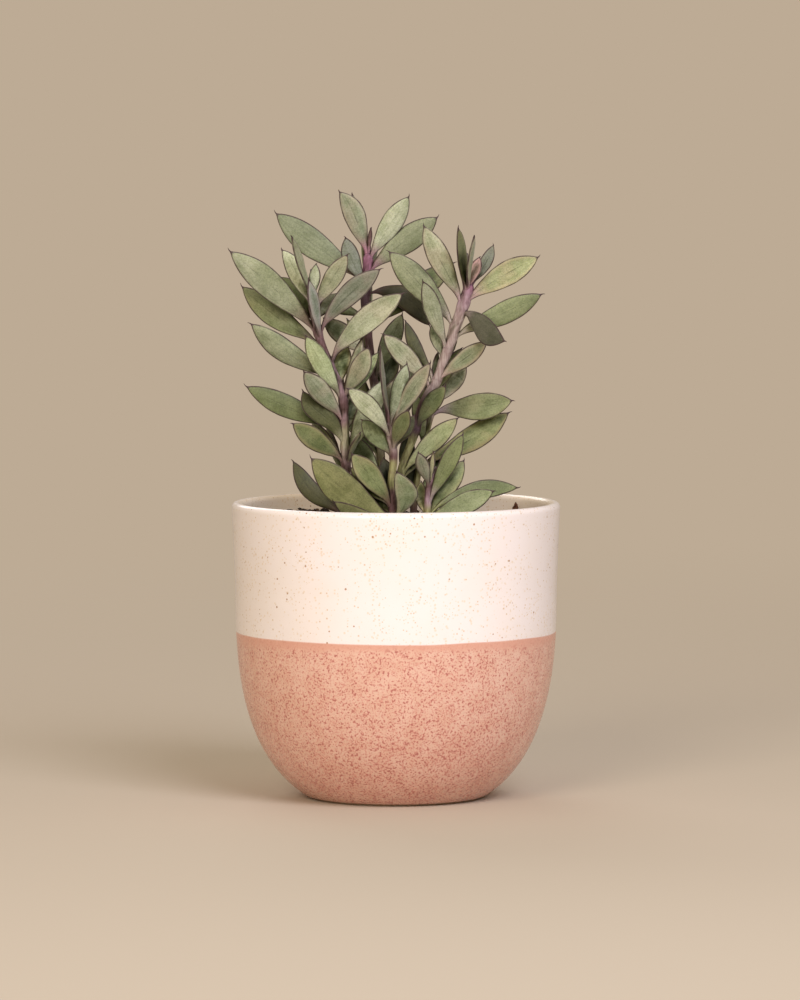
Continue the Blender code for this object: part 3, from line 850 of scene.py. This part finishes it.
def pot_profile():
    """The pot's outline from the middle of its floor, up over the lip and down to its foot."""
    lip_radius = WALL / 2
    lip_height = POT_HEIGHT - lip_radius
    lip_middle = wall_radius(lip_height) - lip_radius
    floor = [(wall_radius(FLOOR_HEIGHT, WALL) * share, FLOOR_HEIGHT) for share in (0.1, 0.5)]
    inside = [(wall_radius(z, WALL), z) for z in reversed(wall_heights(FLOOR_HEIGHT, lip_height - 1))]
    lip = [
        (lip_middle - lip_radius * math.cos(angle), lip_height + lip_radius * math.sin(angle))
        for angle in (math.pi * step / (LIP_POINTS - 1) for step in range(LIP_POINTS))
    ]
    outside = [(wall_radius(z), z) for z in wall_heights(FOOT_BEVEL, lip_height - 1)]
    foot_radius = wall_radius(0.0) - FOOT_BEVEL
    bevel_width = foot_radius - wall_radius(FOOT_BEVEL)
    bevel = [
        (wall_radius(FOOT_BEVEL) + bevel_width * math.sin(angle), FOOT_BEVEL * math.cos(angle))
        for angle in (math.pi / 2 * step / BEVEL_POINTS for step in range(1, BEVEL_POINTS + 1))
    ]
    foot = [(foot_radius * share, 0.0) for share in (0.98, 0.5, 0.1)]
    return [*floor, *inside, *lip, *outside, *bevel, *foot]


def make_pot():
    pot = turned_piece("glazed_pot", pot_profile(), POT_STEPS, hand_thrown, glaze_material())
    ready(pot, "pot_glaze", "pot")


def soil_height(x, y):
    """The mound of the soil, with the heap that shows over the rim at the back left."""
    share = math.hypot(x, y) / wall_radius(SOIL_EDGE_HEIGHT, WALL)
    mound = SOIL_MIDDLE_HEIGHT - (SOIL_MIDDLE_HEIGHT - SOIL_EDGE_HEIGHT) * share**2
    aside = (x - HEAP_PLACE[0]) / HEAP_REACH[0]
    behind = (y - HEAP_PLACE[1]) / HEAP_REACH[1]
    heap = HEAP_HEIGHT * math.exp(-(aside**2 + behind**2))
    place = Vector((x, y, 0.0))
    lumps = noise.fractal(place / LUMP_SIZE, 0.7, 2.0, 5) * LUMP_RISE
    rough = lumps + noise.noise(place / WAVE_SIZE) * WAVE_RISE
    return mound + heap + rough * smooth_step(1.0, 0.93, share)


def make_soil():
    inset = WALL + SOIL_GAP
    edge = wall_radius(SOIL_EDGE_HEIGHT, inset)
    bottom = FLOOR_HEIGHT + SOIL_GAP
    outermost = SOIL_RINGS + INNER_RING
    mound = [(edge * (ring + INNER_RING) / outermost, 0.0) for ring in range(SOIL_RINGS + 1)]
    side = [(wall_radius(z, inset), z) for z in wall_heights(bottom, SOIL_EDGE_HEIGHT - 1)]

    def settle(point):
        """Lifts the mound's points, which are at height 0, to the soil's surface."""
        if point.z > 0:
            return Vector()
        return Vector((0.0, 0.0, soil_height(point.x, point.y)))

    soil = turned_piece("soil_mound", [*mound, *side], SOIL_STEPS, settle, soil_material("soil_earth"))
    add_tones(soil, [linear(SOIL_TONE)] * len(soil.data.vertices))
    ready(soil, "soil_earth", "soil")


def crumb_points(middle, size, turn, seed):
    """A lumpy pebble of rings of points round its middle."""
    points = []
    for ring in range(CRUMB_RINGS + 1):
        polar = math.pi * (ring + 0.15) / (CRUMB_RINGS + 0.3)
        for angle in angles(CRUMB_SIDES):
            point = around(math.sin(polar), angle, math.cos(polar))
            lump = 1 + 0.55 * noise.noise(point * 1.6 + Vector((seed, 0.0, 0.0)))
            points.append(middle + turn @ Vector(p * s for p, s in zip(point * lump, size)))
    return points


def make_crumbs():
    """Crumbs and bark bits on the soil, and the scrap that leans on the wall."""
    rng = random.Random(CRUMB_SEED)
    points, faces, colours = [], [], []

    def add(middle, size, turn, tone):
        faces.extend(tube_faces(CRUMB_RINGS + 1, CRUMB_SIDES, len(points)))
        crumb = crumb_points(Vector(middle), size, Euler(turn).to_matrix(), rng.uniform(0, 400))
        points.extend(crumb)
        colours.extend([linear(tone)] * len(crumb))

    for _ in range(CRUMB_COUNT):
        reach = CRUMB_REACH * math.sqrt(rng.random())
        angle = rng.uniform(0, 2 * math.pi)
        x, y = reach * math.cos(angle), reach * math.sin(angle)
        length = CRUMB_LENGTH + CRUMB_LENGTH_SPREAD * rng.random() ** 3
        size = (length, length * rng.uniform(0.5, 0.95), length * rng.uniform(0.35, 0.8))
        turn = (rng.uniform(-0.5, 0.5), rng.uniform(-0.5, 0.5), rng.uniform(0, 6.3))
        add((x, y, soil_height(x, y) + size[2] * 0.3), size, turn, rng.choice(CRUMB_TONES))
    add(SCRAP_PLACE, SCRAP_SIZE, SCRAP_TURN, SCRAP_TONE)
    crumbs = make_piece("soil_crumbs", points, faces, [soil_material("soil_crumb")])
    add_tones(crumbs, colours)
    ready(crumbs, "soil_earth")


def stem_point(stem, height):
    """The point of the stem's middle line at a height."""
    for low, high in zip(stem.path, stem.path[1:]):
        if height <= high[2]:
            break
    share = (height - low[2]) / (high[2] - low[2])
    return Vector(low[:3]).lerp(Vector(high[:3]), share)


def far_leaf(stem, number, row):
    """The leaf that a row of the far side stands for, upright in the plane through its stem."""
    azimuth = math.radians(row.azimuth)
    along = around(math.cos(FAR_RISE), azimuth, math.sin(FAR_RISE))
    tip = stem_point(stem, row.height) + along * row.length
    tone = FAR_TONES[number % len(FAR_TONES)]
    return Leaf(row.height, tuple(tip), row.length / FAR_SLENDERNESS, tone, turn=row.azimuth)


def all_leaves(stem):
    far = [far_leaf(stem, number, row) for number, row in enumerate(stem.far_leaves)]
    return [*stem.leaves, *far]


def half_width(leaf, along):
    """A blade's half width at a share of its length: a slim stalk, a belly and a thin point."""
    reach = min(along / POINT_START, 1.0)
    outline = leaf.width / 2 * math.sin(math.pi * reach**WIDEST_POWER) ** OUTLINE_POWER
    stalk = PETIOLE_HALF_WIDTH * (1 + 0.25 * smooth_step(0.08, 0.0, along)) * smooth_step(0.5, 0.2, along)
    point = POINT_HALF_WIDTH * smooth_step(1.03, 0.93, along)
    return max(outline, stalk, point)


def blade_frame(stem, leaf):
    """The blade's root, and its directions: along it, across it and out of its face."""
    root = stem_point(stem, leaf.height)
    reach = Vector(leaf.tip) - root
    along = reach.normalized()
    turn = math.radians(leaf.turn)
    front = Vector((math.sin(turn), -math.cos(turn), 0.0))
    face = (front - along * front.dot(along)).normalized()
    return root, reach, face.cross(along), face


def blade_middle(stem, leaf, along):
    """The middle of the blade at a share of its length; its stalk leaves the stem up the stem."""
    root, reach, across, _ = blade_frame(stem, leaf)
    start = stem_point(stem, max(leaf.height - ROOT_DROP, min(leaf.height, LOWEST_ROOT)))
    clasp = max(1 - along / ROOT_SHARE, 0.0) ** 2
    bow = leaf.bow * 4 * along * (1 - along)
    hook = leaf.hook * HOOK_SCALE * along**3 * (1 - along)
    return root + reach * along + (start - root) * clasp + across * (bow + hook)


def section_rise(angle, ridge, flatness):
    """The rise at an angle round a leaf's section, which turns from a round stalk's to a thin lens."""
    share = math.cos(angle)
    lens = EDGE_THICKNESS + (ridge - EDGE_THICKNESS) * (1 - share**2)
    blade = lens / 2 * math.sqrt(max(1 - share**10, 0.0))
    rod = ridge / 2 * abs(math.sin(angle))
    return math.copysign(rod + (blade - rod) * flatness, math.sin(angle))


def blade_points(stem, leaf, rng):
    """The points of a leaf, ring by ring, and what its material needs to know at each."""
    _, reach, across, face = blade_frame(stem, leaf)
    arch = rng.uniform(-0.6, 1.0) * BLADE_ARCH * reach.length
    cup = rng.uniform(-0.6, 1.0) * BLADE_CUP
    twist = rng.uniform(-1.0, 1.0) * BLADE_TWIST
    curl = rng.choice((-1, 1)) * POINT_CURL
    seed = Vector((rng.uniform(0, 90), 0.0, 0.0))
    points, places = [], []
    for station in range(BLADE_STATIONS + 1):
        along = 0.5 - 0.5 * math.cos(math.pi * station / BLADE_STATIONS)
        hump = 4 * along * (1 - along)
        bent = curl * max((along - POINT_START) / (1 - POINT_START), 0.0) ** 2
        middle = blade_middle(stem, leaf, along) + face * (arch * hump) + across * bent
        half = half_width(leaf, along)
        turn = Matrix.Rotation(twist * hump * (along - 0.35), 3, reach.normalized())
        side_way, face_way = turn @ across, turn @ face
        ridge = min(ROOT_THICKNESS + (TIP_THICKNESS - ROOT_THICKNESS) * along**2, 2 * half)
        flatness = smooth_step(1.0, 2.2, half)
        for angle in angles(BLADE_SIDES):
            share = math.cos(angle)
            ripple = noise.noise(seed + Vector((along * 7, math.copysign(3, share), 0.0)))
            edge = 1 + MARGIN_WAVE * ripple * flatness * hump / half
            bend = cup * half * share**2 * flatness + ripple * share**2 * flatness * MARGIN_RIPPLE
            rise = section_rise(angle, ridge, flatness) + bend
            points.append(middle + side_way * (half * share * edge) + face_way * rise)
            places.append((along, share, half * (1 - abs(share))))
    return points, places


def rod_line(stem):
    """Places and radii every ROD_STEP up a smooth curve through the stem's path."""
    foot_x, foot_y, _, foot_radius = stem.path[0]
    knots = [Vector((foot_x, foot_y, HOLE_FLOOR + SOIL_GAP, foot_radius)), *map(Vector, stem.path)]
    knots = [knots[0], *knots, knots[-1] * 2 - knots[-2]]
    line = []
    for before, low, high, after in zip(knots, knots[1:], knots[2:], knots[3:]):
        count = max(round((high - low).length / ROD_STEP), 1)
        for step in range(count):
            t = step / count
            line.append(
                low
                + (high - before) * (t / 2)
                + (before * 2 - low * 5 + high * 4 - after) * (t * t / 2)
                + (low * 3 - before - high * 3 + after) * (t * t * t / 2)
            )
    return [*line, knots[-2]]


def bark_colour(stem, height, dark=0.0):
    """The bark's colour at a height as linear values, darker by the share dark."""
    marks = stem.bark
    low, high = marks[0], marks[-1]
    for first, second in zip(marks, marks[1:]):
        if first[0] <= height <= second[0]:
            low, high = first, second
    share = smooth_step(low[0], high[0], height)
    blend = (a + (b - a) * share for a, b in zip(linear(low[1]), linear(high[1])))
    return tuple(c + (scar - c) * dark for c, scar in zip(blend, linear(DARK_PURPLE)))


def bud_marks(buds, outward, height):
    """How far the bark swells at a point on it, and how much of a leaf's scar it has there."""
    swell, scar = 0.0, 0.0
    for leaf_height, way in buds:
        facing = max(outward.dot(way), 0.0)
        below = (leaf_height - height - SWELL_DROP) / SWELL_REACH
        swell = max(swell, SWELL * math.exp(-below * below) * facing**2)
        rim = (leaf_height - height - SCAR_DROP) / SCAR_REACH
        scar = max(scar, math.exp(-rim * rim) * facing)
    return swell, scar


def rod_points(stem, leaves):
    """The stem's points, ring by ring, swollen and scarred under each leaf, and their colours."""
    buds = []
    for leaf in leaves:
        way = Vector(leaf.tip) - stem_point(stem, leaf.height)
        way.z = 0.0
        buds.append((leaf.height, way.normalized()))
    top = stem.path[-1][2]
    line = rod_line(stem)
    points, colours = [], []
    for before, knot, after in zip([line[0], *line], line, [*line[1:], line[-1]]):
        middle, radius = knot.xyz, knot.w
        upward = (after.xyz - before.xyz).normalized()
        side_way = upward.cross(Vector((0.0, 1.0, 0.0))).normalized()
        other_way = upward.cross(side_way)
        full = smooth_step(top + 0.4, top - ROD_TAPER, middle.z)
        for angle in angles(ROD_SIDES):
            outward = side_way * math.cos(angle) + other_way * math.sin(angle)
            swell, scar = bud_marks(buds, outward, middle.z)
            rib = 1 + RIB_DEPTH * math.sin(angle * RIBS + middle.z * RIB_TWIST)
            reach = (radius * rib + swell) * (ROD_TIP + (1 - ROD_TIP) * full)
            points.append(middle + outward * reach)
            colours.append(bark_colour(stem, middle.z, scar * SCAR_DARKNESS))
    return points, colours


def leaf_colours(stem, leaf, places, rng):
    """A leaf's colours: its stem's at the stalk, then its own tone, with painted shade that darkens it
    towards its root and makes it a little lighter on one side and towards one end.
    """
    shade = rng.uniform(0.93, 1.07)
    warm = rng.uniform(-0.03, 0.03)
    red, green, blue = linear(TONES[leaf.tone])
    flesh = (red * shade * (1 + warm), green * shade, blue * shade * (1 - warm))
    stalk = bark_colour(stem, leaf.height)
    painted_slant = rng.choice((-1, 1)) * rng.uniform(0.04, 0.16)
    colours = []
    for along, across, _ in places:
        # Painted shade: darker towards the root, and lighter on one side and towards one end.
        lit = 1 + painted_slant * across - PAINTED_ROOT_SHADE * smooth_step(0.5, 0.1, along) - painted_slant * (along - 0.5)
        share = smooth_step(*STALK_COLOUR_REACH, along)
        colours.append(tuple(a + (b * lit - a) * share for a, b in zip(stalk, flesh)))
    return colours


def make_stem(stem, number, leaf_look, bark_look):
    """A stem and its leaves as one piece."""
    rng = random.Random(LEAF_SEED + number)
    leaves = all_leaves(stem)
    points, colours = rod_points(stem, leaves)
    faces = tube_faces(len(points) // ROD_SIDES, ROD_SIDES)
    bark_count = len(faces)
    places = [(0.0, 0.0, 1.0)] * len(points)
    chances = [0.0] * len(points)
    for leaf in leaves:
        faces += tube_faces(BLADE_STATIONS + 1, BLADE_SIDES, len(points))
        blade, blade_places = blade_points(stem, leaf, rng)
        points += blade
        places += blade_places
        colours += leaf_colours(stem, leaf, blade_places, rng)
        chances += [rng.random()] * len(blade)
    piece = make_piece(stem.name + "_fine", points, faces, [leaf_look, bark_look])
    piece.data.polygons.foreach_set("material_index", [1] * bark_count + [0] * (len(faces) - bark_count))
    add_tones(piece, colours)
    add_attribute(piece, "blade", "FLOAT_VECTOR", "vector", [share for place in places for share in place])
    add_attribute(piece, "chance", "FLOAT", "value", chances)
    ready(piece, "leaf_green", stem.name)
    return piece


def sky_ways():
    """Directions spread over the sky."""
    ways = []
    for degrees, count in SKY_RINGS:
        rise = math.radians(degrees)
        ways += [around(math.cos(rise), angle, math.sin(rise)) for angle in angles(count, 0.5)]
    return ways


def sheltered_share(vertex, tree, sky):
    """How much of the sky's light its neighbours keep off a point, past SHELTER_FREE."""
    reach = SHELTER_REACH * MM
    start = vertex.co + vertex.normal * (SHELTER_START * MM)
    ways = [way for way in sky if way.dot(vertex.normal) > 0.1]
    hits = [tree.ray_cast(start, way, reach)[3] for way in ways]
    kept = sum(1 - distance / reach for distance in hits if distance is not None)
    return max(kept / max(len(ways), 1) - SHELTER_FREE, 0.0)


def shelter(pieces):
    """Darkens the tones of leaves and stems where their neighbours keep the light off."""
    points, faces = [], []
    for piece in pieces:
        first = len(points)
        points += [vertex.co.copy() for vertex in piece.data.vertices]
        faces += [[first + corner for corner in face.vertices] for face in piece.data.polygons]
    tree = BVHTree.FromPolygons(points, faces)
    sky = sky_ways()
    for piece in pieces:
        opens = []
        for vertex, tone in zip(piece.data.vertices, piece.data.attributes["tone"].data):
            share = sheltered_share(vertex, tree, sky)
            lit = [c * (1 - share) ** power for c, power in zip(tone.color, SHELTER_POWERS)]
            tone.color = (*lit, 1.0)
            opens.append(max(1 - SHELTER_GLOSS * share, 0.0))
        add_attribute(piece, "open", "FLOAT", "value", opens)


def aim(obj, place, target):
    obj.location = place
    obj.rotation_euler = (target - Vector(place)).to_track_quat("-Z", "Y").to_euler()


def make_camera():
    data = bpy.data.cameras.new("camera")
    data.sensor_fit = "VERTICAL"
    data.sensor_height = CAMERA_SENSOR
    data.lens = CAMERA_LENS
    camera = new_object("camera", data)
    aim(camera, CAMERA_PLACE, CAMERA_TARGET)
    bpy.context.scene.camera = camera


def make_lights():
    for name, place, size, watts, colour in LIGHTS:
        data = bpy.data.lights.new(name, "AREA")
        data.shape = "DISK"
        data.size = size
        data.energy = watts
        data.color = linear(colour)
        aim(new_object(name, data), place, LIGHT_TARGET)


def make_world():
    """The camera sees the backdrop's colour, and another one lights the object."""
    world = bpy.data.worlds.new("studio")
    world.use_nodes = True
    tree = world.node_tree
    seen = tree.nodes["Background"]
    seen.inputs["Color"].default_value = (*linear(BACKDROP_COLOUR), 1.0)
    glow = tree.nodes.new("ShaderNodeBackground")
    glow.inputs["Color"].default_value = (*linear(AMBIENT_COLOUR), 1.0)
    glow.inputs["Strength"].default_value = AMBIENT_STRENGTH
    path = tree.nodes.new("ShaderNodeLightPath")
    mix = tree.nodes.new("ShaderNodeMixShader")
    tree.links.new(path.outputs["Is Camera Ray"], mix.inputs[0])
    tree.links.new(glow.outputs[0], mix.inputs[1])
    tree.links.new(seen.outputs[0], mix.inputs[2])
    tree.links.new(mix.outputs[0], tree.nodes["World Output"].inputs["Surface"])
    bpy.context.scene.world = world


def make_floor():
    points = [around(FLOOR_RADIUS / MM, angle, 0.0) for angle in angles(FLOOR_SIDES)]
    floor = make_piece("floor", points, [tuple(range(FLOOR_SIDES))], [floor_material()])


def main():
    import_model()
    bpy.context.scene.view_settings.view_transform = "Standard"
    make_camera()
    make_world()
    make_lights()
    make_floor()
    make_pot()
    make_soil()
    make_crumbs()
    leaf_look, bark_look = leaf_material(), bark_material()
    stems = [make_stem(stem, number, leaf_look, bark_look) for number, stem in enumerate(STEMS)]
    shelter(stems)


main()
